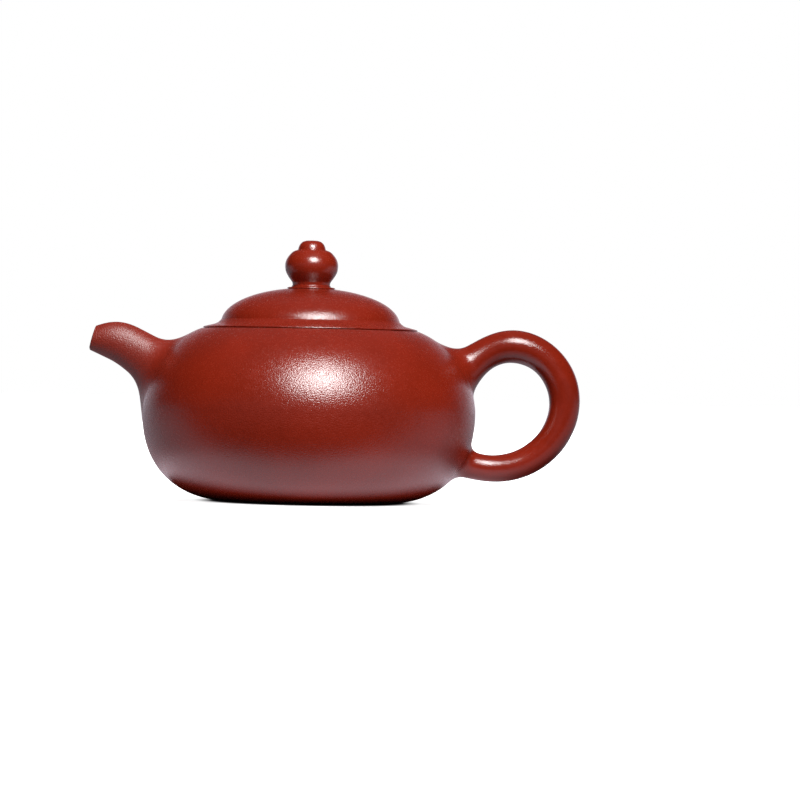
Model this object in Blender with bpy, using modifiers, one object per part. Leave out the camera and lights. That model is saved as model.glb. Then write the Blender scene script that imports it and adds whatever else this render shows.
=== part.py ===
"""A small red clay teapot, thrown flat and round, with a one-bend spout, an ear handle and a lift-off lid.

The pot is luted together from separate clay pieces, as a potter builds it: a belly wall closed below by a
base disc and above by a shoulder disc, a mouth ring, a spout with a pierced strainer behind it, and a handle.
The lid is a brim plate with a domed cover above it, a seating collar below it, and a three-piece knob.

Frame: metres, +Z up. The origin is the centre of the base, on the surface that the pot stands on. The spout
points along -X and the handle along +X, and the pot is symmetric about Y = 0. The lid lifts along +Z.
"""

import math

import bmesh
import bpy
from mathutils import Matrix, Vector

MM = 0.001

# Driving dimensions.
POT_HEIGHT = 60.0 * MM
WALL = 2.8 * MM
SLIP_GAP = 0.3 * MM  # between luted pieces, where the slip is

# The belly's outline is two superelliptic quarters that meet at its widest ring.
BELLY_RADIUS = 38.25 * MM
BELLY_Z = 21.1 * MM
FOOT_CORE = 17.4 * MM  # the flat base reaches this far out
FOOT_POWER = 2.32
SHOULDER_CORE = 20.5 * MM
SHOULDER_RISE = 19.3 * MM
SHOULDER_POWER = 1.8
SHOULDER_JOINT = 59.0  # degrees round the upper quarter, where the shoulder disc is luted on
MOUTH_JOINT = 73.0  # degrees, where the mouth ring is

# The mouth, and the lid that sits in it.
MOUTH_RADIUS = 22.0 * MM
MOUTH_RING_TOP = 39.3 * MM
MOUTH_RING_DEPTH = 3.4 * MM
BRIM_RADIUS = 24.7 * MM
BRIM_BOTTOM = MOUTH_RING_TOP + SLIP_GAP
BRIM_EDGE = 0.4 * MM  # its thickness at the rim, where it slopes down from the dome
BRIM_THICKNESS = 0.75 * MM
COLLAR_RADIUS = 21.6 * MM
COLLAR_WALL = 1.9 * MM
COLLAR_DEPTH = 4.8 * MM
DOME_RADIUS = 20.8 * MM
DOME_RISE = 8.5 * MM
DOME_WALL = 2.0 * MM
DOME_FLAT = 5.6 * MM  # the dome's top is flat under the knob
VENT_RADIUS = 0.8 * MM

# The knob: a flanged neck, a flattened bulb and a button.
NECK_FLANGE_RADIUS = 5.5 * MM
NECK_FLANGE_RISE = 0.35 * MM
NECK_RADIUS = 4.3 * MM
BULB_BOTTOM = 50.4 * MM
BULB_MID_Z = 54.2 * MM
BULB_TOP = 57.9 * MM
BULB_RADIUS = 6.1 * MM
BULB_FOOT_CORE = 3.2 * MM
BULB_POWER = 2.7
BUTTON_RADIUS = 3.1 * MM
BUTTON_BOTTOM = BULB_TOP + SLIP_GAP
BUTTON_POWER = 2.4

# Centre lines in the X-Z plane: (x, z, radius), in millimetres.
SPOUT_LINE = (
    (-31.0, 28.3, 8.6),
    (-35.4, 31.0, 6.3),
    (-40.3, 34.4, 4.85),
    (-44.8, 36.3, 4.2),
    (-51.5, 36.9, 2.8),
)
BORE_LINE = (
    (-27.0, 25.5, 5.0),
    (-35.4, 31.0, 4.6),
    (-40.3, 34.4, 3.3),
    (-44.8, 36.3, 2.6),
    (-54.0, 37.3, 1.8),
)
SPOUT_TIP = (-49.95, 36.7)  # the mouth's centre, in millimetres
SPOUT_TIP_TILT = 16.0  # degrees that the mouth leans up from facing straight out
HANDLE_LINE = (
    (33.5, 30.3, 4.9),
    (37.6, 33.1, 3.9),
    (41.6, 35.4, 3.6),
    (46.6, 36.5, 3.8),
    (52.0, 35.3, 3.65),
    (56.8, 30.8, 3.55),
    (58.8, 24.5, 3.43),
    (56.6, 16.3, 3.3),
    (51.2, 10.9, 3.15),
    (44.6, 8.7, 2.95),
    (39.6, 8.8, 3.0),
    (33.5, 10.2, 3.8),
)

# The strainer is a pierced dome over the spout's hole, inside the pot.
STRAINER_RADIUS = 7.4 * MM
STRAINER_WALL = 1.2 * MM
STRAINER_CENTRE = (-34.6 * MM, 29.6 * MM)
STRAINER_DROP = 30.0  # degrees that its middle hole points below the horizontal
STRAINER_HOLE_RADIUS = 0.75 * MM
STRAINER_RINGS = ((0.0, 1), (27.0, 6), (52.0, 10))  # (degrees from the middle hole, holes)
STRAINER_STEPS = 24

# Mesh fineness.
TURN_STEPS = 48
KNOB_STEPS = 28
TUBE_BEVEL = 6
MERGE = 0.01 * MM

# Red clay, and the same clay where it is burnished: (colour, roughness).
CLAY = ((0.27, 0.035, 0.018, 1.0), 0.42)
BURNISHED_CLAY = ((0.29, 0.036, 0.018, 1.0), 0.28)
RAW_CLAY = ((0.33, 0.07, 0.04, 1.0), 0.7)

parts = bpy.data.collections.new("clay_teapot")
cutters = bpy.data.collections.new("cutters")


def clear_scene():
    for old in list(bpy.data.objects):
        bpy.data.objects.remove(old)
    for collection in (parts, cutters):
        bpy.context.scene.collection.children.link(collection)
    cutters.hide_render = True


def clay_material(name, finish):
    colour, roughness = finish
    material = bpy.data.materials.new(name + "_clay")
    material.use_nodes = True
    shader = material.node_tree.nodes["Principled BSDF"]
    shader.inputs["Base Color"].default_value = colour
    shader.inputs["Roughness"].default_value = roughness
    shader.inputs["Metallic"].default_value = 0.0
    material.diffuse_color = colour
    return material


def add_part(name, data, finish, parent=None):
    obj = bpy.data.objects.new(name, data)
    parts.objects.link(obj)
    obj.data.materials.append(clay_material(name, finish))
    obj.parent = parent
    return obj


def add_cutter(name, data):
    obj = bpy.data.objects.new(name, data)
    cutters.objects.link(obj)
    obj.hide_render = True
    obj.display_type = "WIRE"
    return obj


# Outlines: lists of (radius, height) that a Screw turns round the Z axis.


def quarter(core, reach, mid_z, rise, power, start, end, steps):
    """A superelliptic quarter outline: 0 degrees is its widest point, 90 its top (its bottom if rise < 0)."""
    points = []
    for i in range(steps + 1):
        angle = math.radians(start + (end - start) * i / steps)
        out = max(math.cos(angle), 0.0) ** (2 / power)
        up = max(math.sin(angle), 0.0) ** (2 / power)
        points.append((core + reach * out, mid_z + rise * up))
    return points


def shoulder_curve(inset, start, end, steps):
    """The belly's upper quarter, inset from the outer surface."""
    reach = BELLY_RADIUS - SHOULDER_CORE - inset
    return quarter(SHOULDER_CORE, reach, BELLY_Z, SHOULDER_RISE - inset, SHOULDER_POWER, start, end, steps)


def foot_curve(inset, start, end, steps):
    """The belly's lower quarter, inset from the outer surface."""
    reach = BELLY_RADIUS - FOOT_CORE - inset
    return quarter(FOOT_CORE, reach, BELLY_Z, inset - BELLY_Z, FOOT_POWER, start, end, steps)


def outline_mesh(name, outline, closed):
    """A mesh of the outline's edges, in the X-Z plane. The outline runs down its outer side."""
    count = len(outline)
    edges = [(i, i + 1) for i in range(count - 1)]
    if closed:
        edges.append((count - 1, 0))
    mesh = bpy.data.meshes.new(name)
    mesh.from_pydata([(radius, 0.0, height) for radius, height in outline], edges, [])
    return mesh


def turn(obj, steps):
    screw = obj.modifiers.new("Turn", "SCREW")
    screw.steps = screw.render_steps = steps
    screw.use_merge_vertices = True
    screw.merge_threshold = MERGE
    screw.use_smooth_shade = True
    return obj


def turned_part(name, outline, finish, parent=None, steps=TURN_STEPS, closed=True):
    return turn(add_part(name, outline_mesh(name, outline, closed), finish, parent), steps)


def tube_curve(name, line):
    """A closed tube along (x, z, radius) points in millimetres, as curve data."""
    curve = bpy.data.curves.new(name, "CURVE")
    curve.dimensions = "3D"
    curve.resolution_u = 4
    curve.bevel_depth = 1.0 * MM
    curve.bevel_resolution = TUBE_BEVEL
    curve.use_fill_caps = True
    spline = curve.splines.new("BEZIER")
    spline.bezier_points.add(len(line) - 1)
    for point, (x, z, radius) in zip(spline.bezier_points, line):
        point.co = (x * MM, 0.0, z * MM)
        point.radius = radius  # times the bevel depth of one millimetre
        point.handle_left_type = point.handle_right_type = "AUTO"
    return curve


def mesh_from_curve(name, line):
    """The tube as a closed mesh, its caps welded to its sides."""
    helper = bpy.data.objects.new(name + "_line", tube_curve(name, line))
    bpy.context.scene.collection.objects.link(helper)
    graph = bpy.context.evaluated_depsgraph_get()
    mesh = bpy.data.meshes.new_from_object(helper.evaluated_get(graph))
    mesh.name = name
    bpy.data.objects.remove(helper)
    weld(mesh)
    return mesh


def weld(mesh):
    bm = bmesh.new()
    bm.from_mesh(mesh)
    bmesh.ops.remove_doubles(bm, verts=bm.verts, dist=MERGE)
    bmesh.ops.recalc_face_normals(bm, faces=bm.faces)
    for face in bm.faces:
        face.smooth = True
    bm.to_mesh(mesh)
    bm.free()


def primitive_cutter(name, add_primitive, **sizes):
    """A primitive as a cutter, at the origin."""
    add_primitive(**sizes)
    helper = bpy.context.active_object
    mesh = helper.data
    bpy.data.objects.remove(helper)
    return add_cutter(name, mesh)


def cut(obj, cutter):
    boolean = obj.modifiers.new("Cut " + cutter.name, "BOOLEAN")
    boolean.operation = "DIFFERENCE"
    boolean.solver = "EXACT"
    boolean.object = cutter


# The pot.


def make_base_disc():
    radius = FOOT_CORE - SLIP_GAP
    outline = [(0.0, WALL), (radius, WALL), (radius, 0.0), (0.0, 0.0)]
    return turned_part("base_disc", outline, CLAY, closed=False)


def make_belly_wall(bore):
    outer = shoulder_curve(0.0, SHOULDER_JOINT, 0.0, 5) + foot_curve(0.0, 0.0, 90.0, 9)[1:]
    inner = foot_curve(WALL, 90.0, 0.0, 6) + shoulder_curve(WALL, 0.0, SHOULDER_JOINT, 4)[1:]
    wall = turned_part("belly_wall", outer + inner, CLAY)
    cut(wall, bore)
    return wall


def make_shoulder_disc():
    gap_angle = math.degrees(SLIP_GAP / SHOULDER_RISE)
    start = SHOULDER_JOINT + gap_angle
    outer = shoulder_curve(0.0, MOUTH_JOINT, start, 3)
    inner = shoulder_curve(WALL, start, MOUTH_JOINT, 3)
    return turned_part("shoulder_disc", outer + inner, CLAY)


def make_mouth_ring():
    """The ring that the lid's brim rests over. Its inner wall guides the lid's collar."""
    outer_radius = shoulder_curve(0.0, MOUTH_JOINT, MOUTH_JOINT, 1)[0][0] - SLIP_GAP
    inner_radius = shoulder_curve(WALL, MOUTH_JOINT, MOUTH_JOINT, 1)[0][0] - SLIP_GAP
    edge = 0.3 * MM
    bottom = MOUTH_RING_TOP - MOUTH_RING_DEPTH
    outline = [
        (MOUTH_RADIUS, MOUTH_RING_TOP - edge),
        (MOUTH_RADIUS + edge, MOUTH_RING_TOP),
        (outer_radius - edge, MOUTH_RING_TOP),
        (outer_radius, MOUTH_RING_TOP - edge),
        (inner_radius, bottom),
        (MOUTH_RADIUS + edge, bottom),
        (MOUTH_RADIUS, bottom + edge),
    ]
    return turned_part("mouth_ring", outline, BURNISHED_CLAY)


def tip_cutter():
    """A block whose face is the plane of the spout's mouth."""
    size = 20.0 * MM
    cutter = primitive_cutter("spout_tip_plane", bpy.ops.mesh.primitive_cube_add, size=size)
    facing = Matrix.Rotation(math.radians(SPOUT_TIP_TILT), 4, "Y")
    centre = Vector((SPOUT_TIP[0] * MM, 0.0, SPOUT_TIP[1] * MM))
    cutter.matrix_world = Matrix.Translation(centre) @ facing @ Matrix.Translation((-size / 2, 0.0, 0.0))
    return cutter


def make_spout(bore, belly):
    spout = add_part("spout", mesh_from_curve("spout", SPOUT_LINE), CLAY)
    for cutter in (belly, bore, tip_cutter()):
        cut(spout, cutter)
    return spout


def make_handle(belly):
    handle = add_part("handle", mesh_from_curve("handle", HANDLE_LINE), BURNISHED_CLAY)
    cut(handle, belly)
    return handle


def strainer_hole(index, across, around, dome_matrix):
    """A pin through the dome, this far from its middle hole and this far round it, in degrees."""
    cutter = primitive_cutter(
        f"strainer_hole_{index}",
        bpy.ops.mesh.primitive_cylinder_add,
        vertices=6,
        radius=STRAINER_HOLE_RADIUS,
        depth=STRAINER_RADIUS,
    )
    lean = Matrix.Rotation(math.radians(around), 4, "Z") @ Matrix.Rotation(math.radians(across), 4, "Y")
    cutter.matrix_world = dome_matrix @ lean @ Matrix.Translation((0.0, 0.0, STRAINER_RADIUS))
    return cutter


def make_strainer(outside):
    """Half a ball shell that bulges into the pot, pierced by rings of holes and cut to the belly's inside."""
    arc = [95.0 * i / 9 for i in range(10)]
    outer = [polar(STRAINER_RADIUS, degrees) for degrees in arc]
    inner = [polar(STRAINER_RADIUS - STRAINER_WALL, degrees) for degrees in reversed(arc)]
    strainer = turned_part("strainer", outer + inner, RAW_CLAY, None, STRAINER_STEPS, closed=False)
    facing = Matrix.Rotation(math.radians(90.0 + STRAINER_DROP), 4, "Y")
    centre = Vector((STRAINER_CENTRE[0], 0.0, STRAINER_CENTRE[1]))
    strainer.matrix_world = Matrix.Translation(centre) @ facing
    cut(strainer, outside)
    index = 0
    for across, count in STRAINER_RINGS:
        for hole in range(count):
            index += 1
            cut(strainer, strainer_hole(index, across, 360.0 * hole / count, strainer.matrix_world))
    return strainer


def polar(radius, degrees):
    """(radius, height) of a point on a ball, this far from its top."""
    angle = math.radians(degrees)
    return radius * math.sin(angle), radius * math.cos(angle)


# The lid.


def make_brim_plate(lid):
    round_off = 0.15 * MM
    top = BRIM_BOTTOM + BRIM_THICKNESS
    inner = DOME_RADIUS - DOME_WALL
    outline = [
        (inner, top),
        (DOME_RADIUS, top),
        (BRIM_RADIUS - round_off, BRIM_BOTTOM + BRIM_EDGE),
        (BRIM_RADIUS, BRIM_BOTTOM + BRIM_EDGE - round_off),
        (BRIM_RADIUS, BRIM_BOTTOM + round_off),
        (BRIM_RADIUS - round_off, BRIM_BOTTOM),
        (inner, BRIM_BOTTOM),
    ]
    return turned_part("lid_brim_plate", outline, CLAY, lid)


def make_collar(lid):
    """The collar that keeps the lid in the mouth when the pot is tipped to pour."""
    top = BRIM_BOTTOM - SLIP_GAP
    bottom = top - COLLAR_DEPTH
    edge = 0.4 * MM
    inner = COLLAR_RADIUS - COLLAR_WALL
    outline = [
        (inner, top),
        (COLLAR_RADIUS, top),
        (COLLAR_RADIUS, bottom + edge),
        (COLLAR_RADIUS - edge, bottom),
        (inner + edge, bottom),
        (inner, bottom + edge),
    ]
    return turned_part("lid_collar", outline, CLAY, lid)


def dome_curve(inset, flat, outward, steps):
    """The dome's outline from its flat top, or up to it, as a quarter ellipse."""
    base = BRIM_BOTTOM + BRIM_THICKNESS + SLIP_GAP
    radius = DOME_RADIUS - inset
    rise = DOME_RISE - inset
    top_angle = math.degrees(math.acos(flat / radius))
    curve = quarter(0.0, radius, base, rise, 2.0, 0.0, top_angle, steps)
    return curve[::-1] if outward else curve


def make_dome(lid):
    outer = dome_curve(0.0, DOME_FLAT, outward=True, steps=8)
    inner = dome_curve(DOME_WALL, DOME_FLAT, outward=False, steps=5)
    top, under = outer[0][1], inner[-1][1]
    outline = [(VENT_RADIUS, top)] + outer + inner + [(VENT_RADIUS, under)]
    return turned_part("lid_dome", outline, CLAY, lid)


def dome_top():
    return dome_curve(0.0, DOME_FLAT, outward=True, steps=1)[0][1]


def make_knob_neck(lid):
    bottom = dome_top() + SLIP_GAP
    flange = bottom + NECK_FLANGE_RISE
    top = BULB_BOTTOM - SLIP_GAP
    outline = [
        (VENT_RADIUS, top),
        (NECK_RADIUS, top),
        (NECK_RADIUS, flange + 0.2 * MM),
        (NECK_RADIUS + 0.2 * MM, flange),
        (NECK_FLANGE_RADIUS, flange),
        (NECK_FLANGE_RADIUS, bottom),
        (VENT_RADIUS, bottom),
    ]
    return turned_part("knob_neck", outline, BURNISHED_CLAY, lid, KNOB_STEPS)


def make_knob_bulb(lid):
    upper = quarter(0.0, BULB_RADIUS, BULB_MID_Z, BULB_TOP - BULB_MID_Z, BULB_POWER, 62.0, 0.0, 6)
    reach = BULB_RADIUS - BULB_FOOT_CORE
    lower = quarter(BULB_FOOT_CORE, reach, BULB_MID_Z, BULB_BOTTOM - BULB_MID_Z, 2.0, 0.0, 66.0, 5)[1:]
    outline = (
        [(VENT_RADIUS, BULB_TOP), (BUTTON_RADIUS, BULB_TOP)]
        + upper
        + lower
        + [(NECK_RADIUS, BULB_BOTTOM), (VENT_RADIUS, BULB_BOTTOM)]
    )
    return turned_part("knob_bulb", outline, BURNISHED_CLAY, lid, KNOB_STEPS)


def make_knob_button(lid):
    rise = POT_HEIGHT - BUTTON_BOTTOM
    dome = quarter(0.0, BUTTON_RADIUS, BUTTON_BOTTOM, rise, BUTTON_POWER, 74.0, 0.0, 6)
    outline = [(VENT_RADIUS, POT_HEIGHT)] + dome + [(VENT_RADIUS, BUTTON_BOTTOM)]
    return turned_part("knob_button", outline, BURNISHED_CLAY, lid, KNOB_STEPS)


def belly_solid(name, inset):
    """The whole belly as one solid, inset from its outer surface or, below zero, grown from it."""
    top = shoulder_curve(inset, 90.0, 0.0, 12)
    foot = foot_curve(inset, 0.0, 90.0, 12)[1:]
    outline = [(0.0, top[0][1])] + top + foot + [(0.0, foot[-1][1])]
    return turn(add_cutter(name, outline_mesh(name, outline, closed=False)), TURN_STEPS)


def shell_outside_cavity():
    """Everything from just inside the belly's inner surface outwards, to trim what is inside the pot."""
    cavity = belly_solid("cavity", WALL + SLIP_GAP)
    outside = primitive_cutter("outside_cavity", bpy.ops.mesh.primitive_cube_add, size=30.0 * MM)
    outside.location = (-38.0 * MM, 0.0, 30.0 * MM)
    cut(outside, cavity)
    return outside


def main():
    clear_scene()
    belly = belly_solid("belly_clearance", -SLIP_GAP)
    bore = add_cutter("spout_bore", mesh_from_curve("spout_bore", BORE_LINE))
    outside = shell_outside_cavity()

    make_base_disc()
    make_belly_wall(bore)
    make_shoulder_disc()
    make_mouth_ring()
    make_spout(bore, belly)
    make_strainer(outside)
    make_handle(belly)

    lid = bpy.data.objects.new("lid_lift_axis", None)
    parts.objects.link(lid)
    make_collar(lid)
    make_brim_plate(lid)
    make_dome(lid)
    make_knob_neck(lid)
    make_knob_bulb(lid)
    make_knob_button(lid)


main()
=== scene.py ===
"""The looks of a small red clay teapot, on a pale floor in soft studio light.

Every CAD solid has a fine piece here that stands for it. The outline of each turned piece and the centre
line of each tube are worked out in millimetres in the row's frame: +Z up, the spout along -X, the handle
along +X.
"""

import math

import bmesh
import bpy
import numpy as np
from mathutils import Matrix, Quaternion, Vector, noise


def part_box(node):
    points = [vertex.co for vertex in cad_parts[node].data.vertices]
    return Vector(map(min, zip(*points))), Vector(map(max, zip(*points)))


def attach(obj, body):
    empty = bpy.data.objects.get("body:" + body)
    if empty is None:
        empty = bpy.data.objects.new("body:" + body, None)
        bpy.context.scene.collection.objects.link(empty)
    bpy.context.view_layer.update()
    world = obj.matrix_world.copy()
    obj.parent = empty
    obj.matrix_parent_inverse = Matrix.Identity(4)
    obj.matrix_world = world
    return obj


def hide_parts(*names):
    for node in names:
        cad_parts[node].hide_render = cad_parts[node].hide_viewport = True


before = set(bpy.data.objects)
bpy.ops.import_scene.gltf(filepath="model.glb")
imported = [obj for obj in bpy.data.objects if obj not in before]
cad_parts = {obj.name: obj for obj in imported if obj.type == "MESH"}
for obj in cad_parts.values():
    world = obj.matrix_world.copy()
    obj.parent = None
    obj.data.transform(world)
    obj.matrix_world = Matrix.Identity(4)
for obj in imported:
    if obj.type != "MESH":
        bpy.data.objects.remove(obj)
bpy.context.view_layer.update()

MM = 0.001


def cad_mm(node, corner, axis):
    """One side of a CAD node's box, in millimetres. Corner 0 is the lowest and 1 the highest."""
    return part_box(node)[corner][axis] / MM


# Driving dimensions in millimetres, from the frame.
CAD_GAP = 0.3  # between neighbouring CAD pieces, closed here
BELLY_RADIUS = cad_mm("belly_wall", 1, 0)
FOOT_CORE = cad_mm("base_disc", 1, 0) + CAD_GAP
BRIM_RADIUS = cad_mm("lid_brim_plate", 1, 0)
BRIM_BOTTOM = cad_mm("lid_brim_plate", 0, 2)
RING_BOTTOM = cad_mm("mouth_ring", 0, 2)
COLLAR_RADIUS = cad_mm("lid_collar", 1, 0)
COLLAR_BOTTOM = cad_mm("lid_collar", 0, 2)
DOME_RADIUS = cad_mm("lid_dome", 1, 0)
DOME_BASE = cad_mm("lid_dome", 0, 2)
DOME_TOP = cad_mm("lid_dome", 1, 2)
FLANGE_RADIUS = cad_mm("knob_neck", 1, 0)
BULB_RADIUS = cad_mm("knob_bulb", 1, 0)
BULB_BOTTOM = cad_mm("knob_bulb", 0, 2)
BULB_TOP = cad_mm("knob_bulb", 1, 2)
POT_TOP = cad_mm("knob_button", 1, 2)

# Shapes that the frame's boxes don't give, in millimetres.
WALL = 2.8
BELLY_Z = 21.1  # the widest ring, where the two quarters of the outline meet
FOOT_POWER = 2.32
SHOULDER_CORE = 20.5
SHOULDER_RISE = 19.3
SHOULDER_POWER = 1.8
SHOULDER_JOINT = 59.0  # degrees round the upper quarter
MOUTH_JOINT = 65.0
RING_EDGE_ANGLE = 72.4  # where the ring's edge turns over, at the lid's seam
MOUTH_RADIUS = 22.0
VENT_RADIUS = 0.8
BRIM_EDGE = 0.22  # the brim's height above its underside where it ends
BRIM_SLOPE = 0.27
DOME_STEP = 0.2  # how far inside the CAD dome's side the shell stands, before it flares out
DOME_WALL = 2.0
DOME_POWER = 2.05
DOME_FOOT_ANGLE = 6.0  # degrees up the shell, where the flare starts
DOME_FLARE = (0.72, -0.69)  # the way that the flare starts out in, radius and height
DOME_FOOT = 22.2  # how far out the dome's clay is smoothed over the brim
DOME_LEVEL = 5.6  # how far out the dome has its full CAD height, just outside the knob's flange
KNOB_SEAT = 4.4  # how far in the dome's shell reaches under the knob
NECK_RADIUS = 4.38
BUTTON_JOINT = 3.2  # the crease between the knob's button and its bulb
COLLAR_WALL = 1.9

# Centre lines in the X-Z plane, as smooth curves that bend towards these (x, z, radius) points.
SPOUT_LINE = (
    (-27.75, 25.6, 8.5),
    (-33.1, 29.45, 5.9),
    (-41.05, 34.8, 4.73),
    (-44.6, 36.5, 4.75),
    (-51.3, 36.45, 1.95),
)
BORE_LINE = (
    (-25.5, 23.5, 5.0),
    (-34.6, 31.2, 4.2),
    (-40.0, 34.8, 3.2),
    (-45.0, 36.8, 2.5),
    (-54.0, 36.9, 1.7),
)
SPOUT_TIP = (-49.95, 36.65)
SPOUT_TIP_TILT = 16.0  # degrees that the mouth leans up from facing straight out
LIP_EDGE = 0.6  # rounding of the spout's mouth, outside and inside
LIP_THROAT = 0.35
SPOUT_REACH = (5.5, 4.3)  # how far the clay is smoothed out over the belly, below the spout and above it
SPOUT_TURN = 18  # samples over which the spout's rings turn to face as its mouth does
HANDLE_LINE = (
    (33.15, 29.3, 5.65),
    (36.8, 32.2, 3.9),
    (41.15, 35.55, 3.5),
    (46.8, 37.2, 3.88),
    (53.55, 35.1, 3.67),
    (58.0, 29.75, 3.66),
    (59.4, 23.15, 3.5),
    (57.15, 15.7, 3.42),
    (51.25, 10.2, 3.27),
    (44.75, 8.2, 3.15),
    (38.7, 8.55, 2.97),
    (32.95, 10.65, 3.65),
)
HANDLE_TOP_REACH = (1.2, 4.65)  # on the inside of the ear and on its outside
HANDLE_FOOT_REACH = (2.2, 2.2)

# How much wider sideways than it is thick a tube gets, from which x on, and over what length along X.
SPOUT_WIDTH = (-0.16, -33.0, -8.5)
HANDLE_WIDTH = (0.1, 40.0, 8.0)

# Samples along the bore: where it leaves the belly, where the cutter of the belly's hole ends, and how many
# the lip takes up.
BORE_ROOT = 10
BORE_CUT = 40
BORE_THROAT = 4

STRAINER_RADIUS = 7.4
STRAINER_WALL = 1.2
STRAINER_CENTRE = (-34.6, 29.6)
STRAINER_DROP = 30.0  # degrees that it faces down from level
STRAINER_SPAN = 95.0  # degrees from its middle to its edge
STRAINER_HOLE_RADIUS = 0.75
STRAINER_RINGS = ((0.0, 1), (27.0, 6), (52.0, 10))  # degrees from the middle, and holes

# Mesh fineness.
TURN_STEPS = 224
KNOB_STEPS = 96
TUBE_STEPS = 96
STRAINER_STEPS = 64
CAVITY_STEPS = 96
STRAINER_HOLE_STEPS = 20
CORNER_STEPS = 5
OUTLINE_STEPS = 8
ARC_STEP = 1.5  # degrees between the points of a round outline
SUPPORT = 0.05  # millimetres from a joint to the point beside it, for even shading across the joint
SHARP = 40.0  # degrees between faces from which their edge stays sharp

# How far the hand-beaten surface wanders from the true outline, in millimetres, and over what distance.
WOBBLE_HEIGHT = 0.055
WOBBLE_LENGTH = 13.0
WOBBLE_DETAIL = 0.4  # the size of the smaller dents, and their strength, as a share of the larger ones'
WOBBLE_CENTRE = 20.0  # height of the point that the dents face
WOBBLE_START = 0.5  # height above the table where the dents start to grow in
WOBBLE_FADE = 4.0


# Outlines of turned pieces: (n, 2) arrays of radius and height.


def superellipse(core, reach, mid_z, rise, power, start, end):
    """A superelliptic quarter from start to end degrees: 0 is its widest point, and 90 its top or bottom."""
    count = max(int(round(abs(end - start) / ARC_STEP)), 2)
    angle = np.radians(np.linspace(start, end, count + 1))
    out = np.clip(np.cos(angle), 0, 1) ** (2 / power)
    up = np.clip(np.sin(angle), 0, 1) ** (2 / power)
    return np.stack([core + reach * out, mid_z + rise * up], 1)


def shoulder_curve(inset, start, end):
    reach = BELLY_RADIUS - SHOULDER_CORE - inset
    rise = SHOULDER_RISE - inset
    return superellipse(SHOULDER_CORE, reach, BELLY_Z, rise, SHOULDER_POWER, start, end)


def foot_curve(inset, start, end):
    reach = BELLY_RADIUS - FOOT_CORE - inset
    return superellipse(FOOT_CORE, reach, BELLY_Z, inset - BELLY_Z, FOOT_POWER, start, end)


def supported(curve):
    """The curve with a point added close to each end."""
    first = curve[0] + SUPPORT * unit(curve[1] - curve[0])
    last = curve[-1] + SUPPORT * unit(curve[-2] - curve[-1])
    return np.vstack([curve[:1], first, curve[1:-1], last, curve[-1:]])


def rounded(corners):
    """An outline through (radius, height, rounding) corners, each rounded off by a smooth curve."""
    points = []
    count = len(corners)
    for i, (r, z, size) in enumerate(corners):
        here = np.array([r, z])
        if size == 0:
            points.append(here)
            continue
        before = here + size * unit(np.array(corners[i - 1][:2]) - here)
        after = here + size * unit(np.array(corners[(i + 1) % count][:2]) - here)
        for t in np.linspace(0, 1, CORNER_STEPS + 1):
            points.append((1 - t) ** 2 * before + 2 * t * (1 - t) * here + t**2 * after)
    return np.array(points)


def lengthened(points):
    """The points with one more at each end, as a curve's next points on a straight line."""
    points = np.array(points, float)
    return np.vstack([2 * points[0] - points[1], points, 2 * points[-1] - points[-2]])


def through(points):
    """A smooth outline through (radius, height) points."""
    ends = lengthened(points)
    t = np.linspace(0, 1, OUTLINE_STEPS, endpoint=False)[:, None]
    line = []
    for a, b, c, d in zip(ends, ends[1:], ends[2:], ends[3:]):
        square = 2 * a - 5 * b + 4 * c - d
        cube = 3 * b - a - 3 * c + d
        line.append(0.5 * (2 * b + (c - a) * t + square * t**2 + cube * t**3))
    return np.vstack(line + [ends[-2:-1]])


def unit(vectors):
    return vectors / np.maximum(np.linalg.norm(vectors, axis=-1, keepdims=True), 1e-12)


# Meshes.


def wobbled(points):
    """Points in millimetres, moved as hand-beaten clay wanders, but not where the pot stands on its base."""
    moved = points.copy()
    centre = Vector((0.0, 0.0, WOBBLE_CENTRE))
    for i, point in enumerate(points):
        here = Vector(point)
        swell = noise.noise(here / WOBBLE_LENGTH)
        swell += WOBBLE_DETAIL * noise.noise(here / (WOBBLE_DETAIL * WOBBLE_LENGTH))
        fade = min(max((here.z - WOBBLE_START) / WOBBLE_FADE, 0.0), 1.0)
        moved[i] += np.array((here - centre).normalized() * (WOBBLE_HEIGHT * swell * fade))
    return moved


def mesh_object(name, points, faces, wobble, sharp=SHARP):
    """A closed, smooth-shaded mesh from points in millimetres, its faces turned outwards."""
    mesh = bpy.data.meshes.new(name)
    if wobble:
        points = wobbled(points)
    mesh.from_pydata((points * MM).tolist(), [], faces)
    bm = bmesh.new()
    bm.from_mesh(mesh)
    bmesh.ops.recalc_face_normals(bm, faces=bm.faces)
    if bm.calc_volume(signed=True) < 0:
        bmesh.ops.reverse_faces(bm, faces=bm.faces)
    obj = object_from(bm, mesh)
    shade(mesh, sharp)
    return obj


def object_from(bm, mesh):
    """A new object in the scene with this mesh, filled from a bmesh that ends here."""
    bm.to_mesh(mesh)
    bm.free()
    obj = bpy.data.objects.new(mesh.name, mesh)
    bpy.context.scene.collection.objects.link(obj)
    return obj


def shade(mesh, sharp):
    mesh.shade_smooth()
    mesh.set_sharp_from_angle(angle=math.radians(sharp))


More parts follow.
